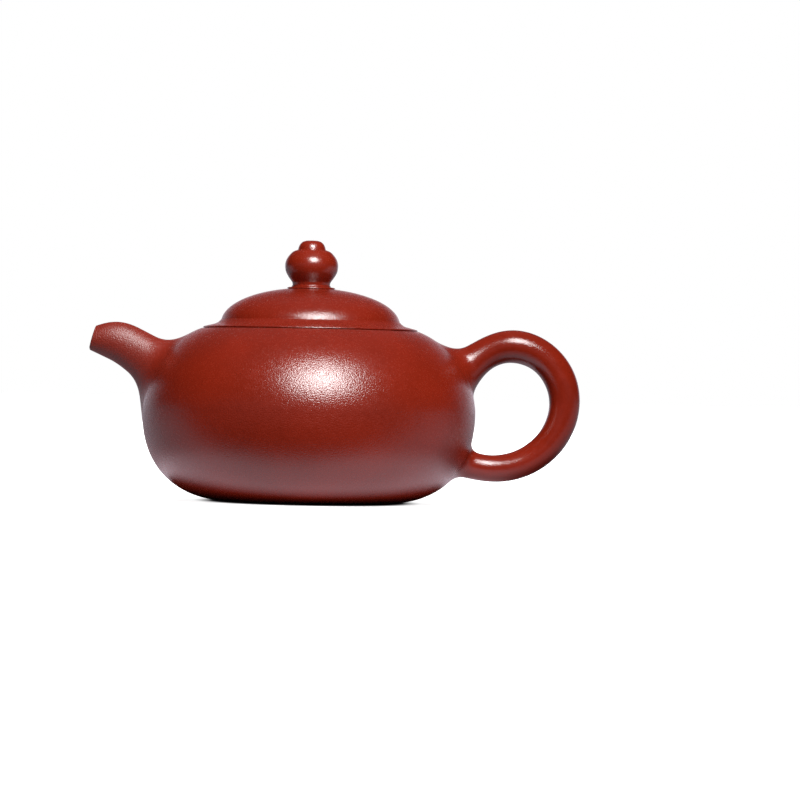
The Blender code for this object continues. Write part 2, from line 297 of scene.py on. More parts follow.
def turned(name, outline, steps=TURN_STEPS, sharp=SHARP, wobble=True):
    """A closed (radius, height) outline turned round the Z axis. Points on the axis become one point each."""
    outline = np.array(outline)
    angle = 2 * np.pi * np.arange(steps) / steps
    points = []
    rings = []
    for r, z in outline:
        first = len(points)
        if r < 1e-6:
            points.append((0.0, 0.0, z))
            rings.append([first] * steps)
        else:
            points += [(r * math.cos(a), r * math.sin(a), z) for a in angle]
            rings.append(list(range(first, first + steps)))
    faces = []
    for i, ring in enumerate(rings):
        after = rings[(i + 1) % len(rings)]
        if len(set(ring)) == 1 and len(set(after)) == 1:
            continue
        for j in range(steps):
            k = (j + 1) % steps
            faces.append(list(dict.fromkeys((ring[j], ring[k], after[k], after[j]))))
    return mesh_object(name, np.array(points), faces, wobble, sharp)


def ring_faces(ring_count, steps, closed):
    """Quads between rings of points that follow each other in the point list."""
    faces = []
    for i in range(ring_count if closed else ring_count - 1):
        a, b = i * steps, (i + 1) % ring_count * steps
        for j in range(steps):
            k = (j + 1) % steps
            faces.append((a + j, a + k, b + k, b + j))
    return faces


def tube_object(name, rings, closed, wobble=True):
    """Rings of points, one after another, as a ring-shaped solid or as a bar with a cap at each end."""
    steps = len(rings[0])
    faces = ring_faces(len(rings), steps, closed)
    if not closed:
        last = (len(rings) - 1) * steps
        faces.append(tuple(range(steps)))
        faces.append(tuple(range(last, last + steps)))
    return mesh_object(name, np.concatenate(rings), faces, wobble)


def carve(obj, cutter, operation="DIFFERENCE"):
    """Cuts obj with the cutter, or keeps what is inside it, and removes the cutter."""
    boolean = obj.modifiers.new("Carve", "BOOLEAN")
    boolean.operation = operation
    boolean.solver = "EXACT"
    boolean.object = cutter
    graph = bpy.context.evaluated_depsgraph_get()
    mesh = bpy.data.meshes.new_from_object(obj.evaluated_get(graph))
    obj.modifiers.clear()
    obj.data = mesh
    shade(mesh, SHARP)
    bpy.data.objects.remove(cutter)
    return obj


# Distances from the belly and from a tube, in millimetres. Points are (n, 3) arrays.


def belly_gap(points):
    """Distance from the belly's outer surface, below zero inside it."""
    out = np.hypot(points[:, 0], points[:, 1])
    up = points[:, 2] - BELLY_Z
    above = up > 0
    core = np.where(above, SHOULDER_CORE, FOOT_CORE)
    power = np.where(above, SHOULDER_POWER, FOOT_POWER)
    width = BELLY_RADIUS - core
    height = np.where(above, SHOULDER_RISE, BELLY_Z)
    x = np.maximum(out - core, 1e-6)
    z = np.maximum(np.abs(up), 1e-6)
    size = ((x / width) ** power + (z / height) ** power) ** (1 / power)
    slope_x = size ** (1 - power) * x ** (power - 1) / width**power
    slope_z = size ** (1 - power) * z ** (power - 1) / height**power
    return (size - 1) / np.hypot(slope_x, slope_z)


def centre_line(points, samples=16):
    """A smooth curve that bends towards (x, z, radius) points and ends on the outermost ones."""
    ends = lengthened(points)
    t = np.linspace(0, 1, samples, endpoint=False)[:, None]
    shares = ((1 - t) ** 3, 3 * t**3 - 6 * t**2 + 4, -3 * t**3 + 3 * t**2 + 3 * t + 1, t**3)
    line = []
    for four in zip(ends, ends[1:], ends[2:], ends[3:]):
        line.append(sum(share * point for share, point in zip(shares, four)) / 6)
    return np.vstack(line + [ends[-2:-1]])


def in_space(line):
    """The centres of a centre line's samples, as points in space."""
    return np.stack([line[:, 0], 0 * line[:, 0], line[:, 1]], 1)


def tube_gap(points, line):
    """Distance from the surface of a tube of changing radius."""
    centre = in_space(line)
    step = centre[1:] - centre[:-1]
    offset = points[:, None, :] - centre[None, :-1]
    share = np.clip((offset * step).sum(2) / (step * step).sum(1), 0, 1)
    radius = line[:-1, 2] + share * (line[1:, 2] - line[:-1, 2])
    far = np.linalg.norm(offset - share[..., None] * step, axis=2)
    return (far - radius).min(1)


def smoothed(a, b, reach):
    """Two distances joined as clay is smoothed over a joint: each bends where the other is near."""
    near = np.maximum(reach - np.abs(a - b), 0) / reach
    return np.minimum(a, b) - near * near * reach / 4


def directions_at(line, index):
    """Along the line, and the two directions across it, at one sample."""
    before, after = max(index - 1, 0), min(index + 1, len(line) - 1)
    along = unit(line[after, :2] - line[before, :2])
    tangent = np.array([along[0], 0, along[1]])
    return tangent, np.array([-along[1], 0, along[0]]), np.array([0.0, 1.0, 0.0])


def spokes(normal, side):
    """Unit directions all round a tube."""
    angle = 2 * np.pi * np.arange(TUBE_STEPS)[:, None] / TUBE_STEPS
    return np.cos(angle) * normal + np.sin(angle) * side


def ring_at(line, index):
    """The ring straight across a tube at one sample."""
    _, normal, side = directions_at(line, index)
    return in_space(line)[index] + line[index, 2] * spokes(normal, side)


def settle(points, ways, gap, rounds=10):
    """Points moved along their own ways onto the surface where gap is zero."""
    tiny = 1e-4
    flattest = 0.2
    longest = 1.5
    for _ in range(rounds):
        here = gap(points)
        slope = (gap(points + tiny * ways) - gap(points - tiny * ways)) / (2 * tiny)
        slope = np.where(np.abs(slope) < flattest, np.where(slope < 0, -flattest, flattest), slope)
        points = points - np.clip(here / slope, -longest, longest)[:, None] * ways
    return points


def root_rings(line, start, outward, reach, rows):
    """Rings from a tube's ring at one sample, over the smoothed joint, to where its clay ends on the belly.

    Outward is +1 where the centre line leaves the belly and -1 where it comes back to it. Reach is how far
    the clay is smoothed, towards -Z and towards +Z of the tube.
    """
    tangent, normal, side = directions_at(line, start)
    away = tangent * outward
    across = spokes(normal, side)
    reach = reach[0] + (reach[1] - reach[0]) * (across[:, 2] + 1) / 2

    def gap(points):
        return smoothed(belly_gap(points), tube_gap(points, line), reach)

    def slopes(points):
        tiny = 1e-3
        by_across = (gap(points + tiny * across) - gap(points - tiny * across)) / (2 * tiny)
        by_away = (gap(points + tiny * away) - gap(points - tiny * away)) / (2 * tiny)
        return by_across[:, None], by_away[:, None]

    centre = in_space(line)[start]
    point = settle(centre + line[start, 2] * across, across, gap)
    heading = np.tile(-away, (len(point), 1))
    path = [point]
    beyond = [tube_gap(point, line)]
    stride = 0.2
    most = 240
    for _ in range(most):
        by_across, by_away = slopes(point)
        way = unit(-by_away * across + by_across * away)
        way = way * np.where((way * heading).sum(1, keepdims=True) < 0, -1, 1)
        point = point + stride * way
        for _ in range(2):
            by_across, by_away = slopes(point)
            steep = np.maximum(by_across**2 + by_away**2, 0.1)
            point = point - gap(point)[:, None] * (by_across * across + by_away * away) / steep
        heading = way
        path.append(point)
        beyond.append(tube_gap(point, line))
        if (beyond[-1] > reach + stride).all():
            break
    path = np.array(path)
    beyond = np.array(beyond)
    rings = np.empty((rows + 1, len(across), 3))
    for j in range(len(across)):
        past = np.nonzero(beyond[:, j] >= reach[j])[0]
        last = past[0] if len(past) else len(path) - 1
        part = beyond[last - 1 : last + 1, j]
        share = np.clip((reach[j] - part[0]) / max(part[1] - part[0], 1e-9), 0, 1)
        end = path[last - 1, j] + share * (path[last, j] - path[last - 1, j])
        stretch = np.vstack([path[:last, j], end])
        length = np.concatenate([[0], np.cumsum(np.linalg.norm(np.diff(stretch, axis=0), axis=1))])
        wanted = np.linspace(0, length[-1], rows + 1)
        for axis in range(3):
            rings[:, j, axis] = np.interp(wanted, length, stretch[:, axis])
    return list(rings)


def belly_way(points):
    """The direction straight out of the belly at each point."""
    tiny = 1e-3
    slope = np.empty_like(points)
    for axis in range(3):
        step = np.zeros(3)
        step[axis] = tiny
        slope[:, axis] = (belly_gap(points + step) - belly_gap(points - step)) / (2 * tiny)
    return unit(slope)


def across_belly(first, last, rows):
    """Rings on the belly's surface between two rings on it."""
    rings = []
    for share in np.linspace(0, 1, rows + 2)[1:-1]:
        ring = first + share * (last - first)
        rings.append(settle(ring, belly_way(ring), belly_gap))
    return rings


def plain_rings(line, first, last):
    """Rings straight across the tube at samples first to last, in either order."""
    step = 1 if last > first else -1
    return [ring_at(line, index) for index in range(first, last + step, step)]


def tilted_rings(line, first, last, facing):
    """Rings at samples first to last, which turn step by step until the last lies across the facing way."""
    rings = []
    for index in range(first, last + 1):
        tangent, normal, side = directions_at(line, index)
        share = smooth_step((index - last + SPOUT_TURN) / SPOUT_TURN)
        tangent = unit(tangent * (1 - share) + facing * share)
        normal = unit(normal - (normal @ tangent) * tangent)
        across = spokes(normal, side)
        ring = in_space(line)[index] + line[index, 2] * across
        rings.append(settle(ring, across, lambda points: tube_gap(points, line)))
    return rings


def smooth_step(t):
    t = min(max(t, 0.0), 1.0)
    return t * t * (3 - 2 * t)


def widened(rings, share, start, length):
    """The rings made wider sideways, from x = start to the full share at x = start + length."""
    for ring in rings:
        ring[:, 1] *= [1 + share * smooth_step((x - start) / length) for x in ring[:, 0]]
    return rings


def first_clear(line, reach, order):
    """The first sample, in this order, whose whole ring is beyond the smoothed joint."""
    spare = 0.1
    for index in order:
        if belly_gap(ring_at(line, index)).min() > max(reach) + spare:
            return index
    raise ValueError("the tube never leaves the belly")


# The pot.


def make_base_disc():
    outline = rounded([(0, WALL, 0), (FOOT_CORE, WALL, 0), (FOOT_CORE, 0, 0), (0, 0, 0)])
    return turned("clay_base_disc", outline, wobble=False)


def make_belly_wall():
    outer = np.vstack([shoulder_curve(0, SHOULDER_JOINT, 0), foot_curve(0, 0, 90)[1:]])
    inner = np.vstack([foot_curve(WALL, 90, 0), shoulder_curve(WALL, 0, SHOULDER_JOINT)[1:]])
    wall = turned("clay_belly_wall", np.vstack([supported(outer), supported(inner)]))
    line = centre_line(BORE_LINE)
    hole = tube_object("bore", plain_rings(line, 0, BORE_CUT), closed=False, wobble=False)
    return carve(wall, hole)


def make_shoulder_disc():
    outer = supported(shoulder_curve(0, MOUTH_JOINT, SHOULDER_JOINT))
    inner = supported(shoulder_curve(WALL, SHOULDER_JOINT, MOUTH_JOINT))
    return turned("clay_shoulder_disc", np.vstack([outer, inner]))


def make_mouth_ring():
    """It carries the shoulder's curve on up to the lid's seam, where its edge is softly rounded."""
    outer = shoulder_curve(0, RING_EDGE_ANGLE, MOUTH_JOINT)
    inner = shoulder_curve(WALL, MOUTH_JOINT, MOUTH_JOINT + 1)[:1]
    top = outer[0, 1] + 0.06
    outline = np.vstack(
        [
            rounded([(MOUTH_RADIUS, top, 0.3), (outer[0, 0] - 0.12, top, 0.1), (*outer[0], 0.0)])[:-1],
            supported(outer),
            inner,
            rounded([(MOUTH_RADIUS + 0.6, RING_BOTTOM, 0.3), (MOUTH_RADIUS, RING_BOTTOM + 0.6, 0.3)]),
        ]
    )
    return turned("clay_mouth_ring", outline)


def make_spout():
    line = centre_line(SPOUT_LINE, samples=22)
    bore = centre_line(BORE_LINE)
    tilt = math.radians(SPOUT_TIP_TILT)
    facing = np.array([-math.cos(tilt), 0, math.sin(tilt)])
    tip = np.array([SPOUT_TIP[0], 0, SPOUT_TIP[1]])
    start = first_clear(line, SPOUT_REACH, range(len(line)))
    end = int(np.argmin(np.abs((in_space(line) - tip) @ facing)))
    root = root_rings(line, start, 1, SPOUT_REACH, rows=34)
    tube = tilted_rings(line, start + 1, end, facing)
    bore_end = int(np.argmin(np.abs((in_space(bore) - tip) @ facing)))
    inside = plain_rings(bore, bore_end - BORE_THROAT, BORE_ROOT)
    lip = lip_rings(tube.pop(), inside[0], facing)
    inwards = -directions_at(bore, BORE_ROOT)[0]
    mouth = settle(inside[-1], np.tile(inwards, (TUBE_STEPS, 1)), belly_gap, rounds=20)
    rings = root[::-1] + tube + lip + inside + [mouth] + across_belly(mouth, root[-1], 5)
    return tube_object("clay_spout", widened(rings, *SPOUT_WIDTH), closed=True)


def lip_rings(outer, inner, facing):
    """The spout's cut mouth: a flat ring with a softened outer edge and a rounder inner one."""
    middle = outer.mean(0)
    across = unit(outer - middle)
    wide = np.linalg.norm(outer - middle, axis=1, keepdims=True)
    hole = inner - middle
    hole = hole - np.outer(hole @ facing, facing)
    narrow = np.linalg.norm(hole, axis=1, keepdims=True)
    rings = []
    for degrees in (0, 18, 36, 54, 72, 90):
        a = math.radians(degrees)
        inwards = LIP_EDGE * (1 - math.cos(a))
        back = LIP_EDGE * (1 - math.sin(a))
        rings.append(middle + across * (wide - inwards) - facing * back)
    for degrees in (90, 60, 30, 0):
        a = math.radians(degrees)
        inwards = LIP_THROAT * (1 - math.cos(a))
        back = LIP_THROAT * (1 - math.sin(a))
        rings.append(middle + across * (narrow + LIP_THROAT - inwards) - facing * back)
    return rings


def make_handle():
    line = centre_line(HANDLE_LINE)
    top = first_clear(line, HANDLE_TOP_REACH, range(len(line)))
    foot = first_clear(line, HANDLE_FOOT_REACH, range(len(line) - 1, 0, -1))
    upper = root_rings(line, top, 1, HANDLE_TOP_REACH, rows=30)
    lower = root_rings(line, foot, -1, HANDLE_FOOT_REACH, rows=20)
    tube = plain_rings(line, top + 1, foot - 1)
    rings = closing_rings(upper[-1])[::-1] + upper[::-1] + tube + lower + closing_rings(lower[-1])
    return tube_object("clay_handle", widened(rings, *HANDLE_WIDTH), closed=False)


def closing_rings(ring):
    """Rings on the belly that shrink towards the middle of this one."""
    smallest = 0.1
    middle = ring.mean(0)
    return across_belly(ring, middle + smallest * (ring - middle), 4)


def make_strainer():
    """Half a ball shell that bulges into the pot, pierced by rings of holes."""
    angle = np.radians(np.linspace(0, STRAINER_SPAN, STRAINER_STEPS // 2 + 1))
    ball = np.stack([np.sin(angle), np.cos(angle)], 1)
    outline = np.vstack([STRAINER_RADIUS * ball, (STRAINER_RADIUS - STRAINER_WALL) * ball[::-1]])
    strainer = turned("clay_strainer", outline, STRAINER_STEPS, wobble=False)
    centre = Vector((STRAINER_CENTRE[0], 0.0, STRAINER_CENTRE[1])) * MM
    place = Matrix.Translation(centre) @ Matrix.Rotation(math.radians(90.0 + STRAINER_DROP), 4, "Y")
    strainer.data.transform(place)
    pins = bmesh.new()
    for across, count in STRAINER_RINGS:
        for hole in range(count):
            around = Matrix.Rotation(2 * math.pi * hole / count, 4, "Z")
            lean = around @ Matrix.Rotation(math.radians(across), 4, "Y")
            matrix = place @ lean @ Matrix.Translation((0, 0, STRAINER_RADIUS * MM))
            bmesh.ops.create_cone(
                pins,
                cap_ends=True,
                segments=STRAINER_HOLE_STEPS,
                radius1=STRAINER_HOLE_RADIUS * MM,
                radius2=STRAINER_HOLE_RADIUS * MM,
                depth=STRAINER_RADIUS * MM,
                matrix=matrix,
            )
    carve(strainer, object_from(pins, bpy.data.meshes.new("pins")))
    cavity = np.vstack([shoulder_curve(WALL, 90, 0), foot_curve(WALL, 0, 90)[1:]])
    cavity = np.vstack([[0, cavity[0][1]], cavity, [0, cavity[-1][1]]])
    return carve(strainer, turned("cavity", cavity, CAVITY_STEPS, wobble=False), "INTERSECT")


# The lid.


def brim_top(radius):
    """Height of the brim's top, which slopes up towards the dome."""
    return BRIM_BOTTOM + BRIM_EDGE + BRIM_SLOPE * (BRIM_RADIUS - radius)


def make_brim_plate():
    corners = [
        (DOME_RADIUS - DOME_WALL, BRIM_BOTTOM, 0),
        (DOME_RADIUS - DOME_WALL, DOME_BASE, 0),
        (DOME_RADIUS, DOME_BASE, 0),
        (DOME_FOOT, brim_top(DOME_FOOT), 0),
        (BRIM_RADIUS - 0.08, BRIM_BOTTOM + 0.27, 0.2),
        (BRIM_RADIUS - 0.02, BRIM_BOTTOM + 0.02, 0.1),
    ]
    return turned("clay_lid_brim_plate", rounded(corners))


def make_collar():
    inner = COLLAR_RADIUS - COLLAR_WALL
    corners = [
        (inner, BRIM_BOTTOM, 0),
        (COLLAR_RADIUS, BRIM_BOTTOM, 0),
        (COLLAR_RADIUS, COLLAR_BOTTOM, 0.5),
        (inner, COLLAR_BOTTOM, 0.5),
    ]
    return turned("clay_lid_collar", rounded(corners))


def make_dome():
    """A low dome that flares out over the brim, with the vent hole in its top."""
    radius = DOME_RADIUS - DOME_STEP
    rise = (DOME_TOP - DOME_BASE) / math.sqrt(1 - (DOME_LEVEL / radius) ** 2)
    neck_angle = math.degrees(math.acos(KNOB_SEAT / radius))
    shell = superellipse(0, radius, DOME_BASE, rise, DOME_POWER, neck_angle, DOME_FOOT_ANGLE)
    foot = np.array([DOME_FOOT, brim_top(DOME_FOOT)])
    start = shell[-1]
    down = np.array(DOME_FLARE)
    drop = (start[1] - brim_top(start[0])) / (-down[1] - BRIM_SLOPE * down[0])
    corner = start + drop * down
    flare = [start + SUPPORT * down]
    for t in np.linspace(0, 1, 10):
        flare.append((1 - t) ** 2 * (start + 0.4 * drop * down) + 2 * t * (1 - t) * corner + t**2 * foot)
    inner = superellipse(0, radius - DOME_WALL, DOME_BASE, rise - DOME_WALL, 2.0, 0, neck_angle)
    outline = np.vstack(
        [
            [VENT_RADIUS, shell[0][1]],
            shell,
            flare,
            [DOME_RADIUS, DOME_BASE],
            inner,
            [VENT_RADIUS, inner[-1][1]],
        ]
    )
    return turned("clay_lid_dome", outline)


def make_knob_neck():
    """A thin flange that stands just clear of the dome, and a collar above it that carries the bulb."""
    flange = DOME_TOP + 0.14
    corners = [
        (VENT_RADIUS, BULB_BOTTOM, 0),
        (NECK_RADIUS, BULB_BOTTOM, 0),
        (NECK_RADIUS - 0.1, BULB_BOTTOM - 0.65, 0.06),
        (NECK_RADIUS + 0.2, BULB_BOTTOM - 0.9, 0.24),
        (NECK_RADIUS + 0.1, flange + 0.42, 0.05),
        (NECK_RADIUS + 0.42, flange + 0.34, 0.08),
        (FLANGE_RADIUS, flange + 0.24, 0.2),
        (FLANGE_RADIUS, flange, 0.05),
        (KNOB_SEAT + 0.4, flange - 0.04, 0.05),
        (KNOB_SEAT, DOME_TOP - 0.1, 0),
        (VENT_RADIUS, DOME_TOP - 0.1, 0),
    ]
    return turned("clay_knob_neck", rounded(corners), KNOB_STEPS, sharp=50.0)


def make_knob_bulb():
    """A flattened ball that tapers into the neck."""
    middle = 0.5 * (BULB_BOTTOM + BULB_TOP) + 0.25
    skin = through(
        [
            (BUTTON_JOINT, BULB_TOP),
            (4.3, BULB_TOP - 0.46),
            (5.15, BULB_TOP - 1.3),
            (5.8, BULB_TOP - 2.3),
            (BULB_RADIUS, middle),
            (5.92, BULB_BOTTOM + 2.55),
            (5.35, BULB_BOTTOM + 1.4),
            (4.72, BULB_BOTTOM + 0.5),
            (NECK_RADIUS, BULB_BOTTOM),
        ]
    )
    outline = np.vstack([[VENT_RADIUS, BULB_TOP], skin, [VENT_RADIUS, BULB_BOTTOM]])
    return turned("clay_knob_bulb", outline, KNOB_STEPS)


def make_knob_button():
    """A small round button that grows out of the bulb, with the vent's mouth in its top."""
    skin = through(
        [
            (VENT_RADIUS, POT_TOP - 0.35),
            (VENT_RADIUS + 0.1, POT_TOP - 0.09),
            (VENT_RADIUS + 0.4, POT_TOP),
            (2.1, POT_TOP - 0.27),
            (2.68, POT_TOP - 0.8),
            (3.02, POT_TOP - 1.45),
            (BUTTON_JOINT, BULB_TOP),
        ]
    )
    return turned("clay_knob_button", np.vstack([skin, [VENT_RADIUS, BULB_TOP]]), KNOB_STEPS)


# Materials.

RED = (0.194, 0.0125, 0.0039)
# the handle's clay a tenth darker than the pot's: painted shade for the handle's dimmer light
HANDLE_RED_WITH_PAINTED_SHADE = tuple(0.9 * c for c in RED)
RAW_RED = (0.27, 0.04, 0.02)
SAND_RED = (0.30, 0.035, 0.015, 1.0)
SPECK_RED = (0.45, 0.16, 0.08, 1.0)
COLOUR_DRIFT = 0.12  # how far the fired colour goes up and down
CLAY_IOR = 1.5

# Sizes of the clay's patterns, as waves or cells to a metre.
DRIFT_SCALE = 60.0
MOTTLE_SCALE = 900.0
SAND_SCALE = 3600.0
SPECK_SCALE = 420.0
GRAIN_SCALE = 3400.0

# Speck sizes as distances in a cell, and the share of cells that have none, each with a soft edge.
SPECK_SIZE = (0.10, 0.05)
SPECK_RARITY = (0.965, 0.97)

# Which noise values the fired colour and the sand's colour run over, and how the roughness follows the tooth.
DRIFT_SPREAD = (0.36, 0.64)
SAND_SPREAD = (0.5, 0.8)
TOOTH_ROUGHNESS = (0.35, 0.65, -0.04, 0.05)

HEIGHT_STRETCH = 1.5  # what a step up counts, against a step out, in distances from the belly's middle


class Nodes:
    """Short calls for building a material's node tree."""

    def __init__(self, tree):
        self.tree = tree

    def add(self, kind, inputs=None, **settings):
        node = self.tree.nodes.new(kind)
        for name, value in settings.items():
            setattr(node, name, value)
        for name, value in (inputs or {}).items():
            socket = node.inputs[name]
            if isinstance(value, bpy.types.NodeSocket):
                self.tree.links.new(value, socket)
            else:
                socket.default_value = value
        return node

    def math(self, operation, *values):
        return self.add("ShaderNodeMath", dict(enumerate(values)), operation=operation).outputs[0]

    def measure(self, operation, *vectors):
        """A length, a distance or a dot product."""
        node = self.add("ShaderNodeVectorMath", dict(enumerate(vectors)), operation=operation)
        return node.outputs["Value"]

    def noise(self, place, scale, detail, roughness=0.5):
        wanted = {"Vector": place, "Scale": scale, "Detail": detail, "Roughness": roughness}
        return self.add("ShaderNodeTexNoise", wanted).outputs["Fac"]

    def ramp(self, value, low, high, to_low=0.0, to_high=1.0):
        wanted = {"Value": value, "From Min": low, "From Max": high, "To Min": to_low, "To Max": to_high}
        return self.add("ShaderNodeMapRange", wanted).outputs["Result"]

    def mix(self, share, a, b):
        wanted = {"Factor": share, "A": a, "B": b}
        node = self.add("ShaderNodeMix", data_type="RGBA")
        for name, value in wanted.items():
            socket = [s for s in node.inputs if s.name == name and s.type in ("RGBA", "VALUE")]
            socket = socket[-1] if name != "Factor" else socket[0]
            if isinstance(value, bpy.types.NodeSocket):
                self.tree.links.new(value, socket)
            else:
                socket.default_value = value
        return [s for s in node.outputs if s.type == "RGBA"][0]

    def sum(self, *terms):
        """The sum of (value, weight) pairs, where a value is a socket or a number."""
        total = None
        for value, weight in terms:
            term = self.math("MULTIPLY", value, weight)
            total = term if total is None else self.math("ADD", total, term)
        return total


def clay(name, colour, roughness, grain, pitting, outer=None, shine=0.75):
    """Unglazed clay: a fired colour that drifts a little, sand grains, a few pale specks and a fine tooth.

    Grain is how strongly the sand shows, and pitting the depth of the tooth in millimetres. Outer is for a
    piece whose roughness changes away from the belly: the distances from the belly's middle where the change
    starts and ends, and the roughness beyond it. Shine is the specular level.
    """
    material = bpy.data.materials.new(name)
    material.use_nodes = True
    nodes = Nodes(material.node_tree)
    shader = material.node_tree.nodes["Principled BSDF"]
    place = nodes.add("ShaderNodeTexCoord").outputs["Object"]

    drift = nodes.noise(place, DRIFT_SCALE, detail=3.0)
    mottle = nodes.noise(place, MOTTLE_SCALE, detail=3.0, roughness=0.6)
    sand = nodes.noise(place, SAND_SCALE, detail=1.0)
    dark = [c * (1 - COLOUR_DRIFT) for c in colour] + [1.0]
    pale = [c * (1 + COLOUR_DRIFT) for c in colour] + [1.0]
    base = nodes.mix(nodes.ramp(nodes.sum((drift, 0.7), (mottle, 0.3)), *DRIFT_SPREAD), dark, pale)
    base = nodes.mix(nodes.ramp(sand, *SAND_SPREAD, to_high=grain), base, SAND_RED)

    cells = nodes.add("ShaderNodeTexVoronoi", {"Vector": place, "Scale": SPECK_SCALE})
    pick = nodes.add("ShaderNodeSeparateColor", {"Color": cells.outputs["Color"]}).outputs[0]
    speck = nodes.ramp(cells.outputs["Distance"], *SPECK_SIZE)
    grit = nodes.math("MULTIPLY", speck, nodes.ramp(pick, *SPECK_RARITY))
    base = nodes.mix(grit, base, SPECK_RED)
    nodes.tree.links.new(base, shader.inputs["Base Color"])

    tooth = nodes.ramp(nodes.sum((mottle, 0.5), (sand, 0.5)), *TOOTH_ROUGHNESS)
    level = roughness
    if outer is not None:
        start, end, beyond = outer
        middle = (0.0, 0.0, -HEIGHT_STRETCH * BELLY_Z * MM)
        stretch = {0: place, 1: (1.0, 1.0, HEIGHT_STRETCH), 2: middle}
        stretched = nodes.add("ShaderNodeVectorMath", stretch, operation="MULTIPLY_ADD").outputs[0]
        level = nodes.ramp(nodes.measure("LENGTH", stretched), start, end, roughness, beyond)
    nodes.tree.links.new(nodes.math("ADD", tooth, level), shader.inputs["Roughness"])

    cells = nodes.add("ShaderNodeTexVoronoi", {"Vector": place, "Scale": GRAIN_SCALE})
    grains = nodes.math("MULTIPLY", cells.outputs["Distance"], cells.outputs["Distance"])
    height = nodes.sum((sand, 0.6), (grains, -1.0), (mottle, 0.25), (grit, -0.3))
    bump = nodes.add("ShaderNodeBump", {"Height": height, "Strength": 1.0, "Distance": pitting * MM})
    nodes.tree.links.new(bump.outputs["Normal"], shader.inputs["Normal"])

    shader.inputs["IOR"].default_value = CLAY_IOR
    shader.inputs["Specular IOR Level"].default_value = shine
    material.diffuse_color = (*colour, 1.0)
    return material


# Studio.

FRAME_WIDTH = 0.184  # what the picture's width covers at the pot
CAMERA_DISTANCE = 0.74
CAMERA_HEIGHT = 0.028
CAMERA_AIM = (0.0209, 0.0, 0.0238)
CAMERA_ROLL = 1.1  # degrees
SENSOR_WIDTH = 36.0
LIGHTS_AIM = (0.0, 0.0, 0.03)
FLOOR_SIZE = 8.0
FLOOR_GREY = (0.8, 0.8, 0.8, 1.0)
WHITE = (1.0, 1.0, 1.0, 1.0)
BLACK = (0.0, 0.0, 0.0, 1.0)
PALE = (1.0, 0.92, 1.04, 1.0)  # the faint violet cast of the studio's white

# Ramps are (start, end) for 0 to 1, or (start, end, value before, value after). Lengths are in metres.

# How bright the floor's glow looks, by the distance from the pot's axis: a painted shadow as the dark line
# under the pot, and a faint painted shade round it.
PAINTED_CONTACT_SHADOW = (0.0220, 0.0262)
SHADE = (0.08, 0.45, 0.94, 1.0)

# The painted lit patch of glowing floor that the pot reflects and is lit by: painted shadows of the belly and
# the handle on it, its far edge, and its front edge along a slightly slanting line.
BELLY_SHADOW_CENTRE = (-0.001, 0.0082, 0.0)
BELLY_SHADOW = (0.0345, 0.0383)
HANDLE_SHADOW_CENTRE = (0.058, 0.008, 0.0)
HANDLE_SHADOW = (0.010, 0.021, 0.12, 1.0)
FAR_EDGE = (0.044, 0.058, 1.0, 0.42)
FRONT_SLANT = (0.15, 1.0, 0.0)
FRONT_EDGE = (-0.056, -0.038, 0.04, 1.0)

# The studio in the pot's reflections. Sides run from -1 in front to 1 behind, and heights from 0 at the
# horizon to 1 straight up.
WALL_SIDES = (0.655, 0.96, 0.03, 1.15)
WALL_HEIGHT = (0.07, 0.38, 0.88, 0.05)
FRONT_SIDES = (-0.3, -0.7)
FRONT_HEIGHT = (0.2, 0.32, 0.14, 0.0)
CEILING = (0.6, 0.9, 0.0, 0.045)


def add_camera():
    data = bpy.data.cameras.new("camera")
    data.sensor_width = SENSOR_WIDTH
    data.lens = SENSOR_WIDTH * CAMERA_DISTANCE / FRAME_WIDTH
    camera = bpy.data.objects.new("camera", data)
    bpy.context.scene.collection.objects.link(camera)
    camera.location = (0.0, -CAMERA_DISTANCE, CAMERA_HEIGHT)
    towards = Vector(CAMERA_AIM) - camera.location
    turn = towards.to_track_quat("-Z", "Y") @ Quaternion((0, 0, 1), math.radians(CAMERA_ROLL))
    camera.rotation_euler = turn.to_euler()
    bpy.context.scene.camera = camera


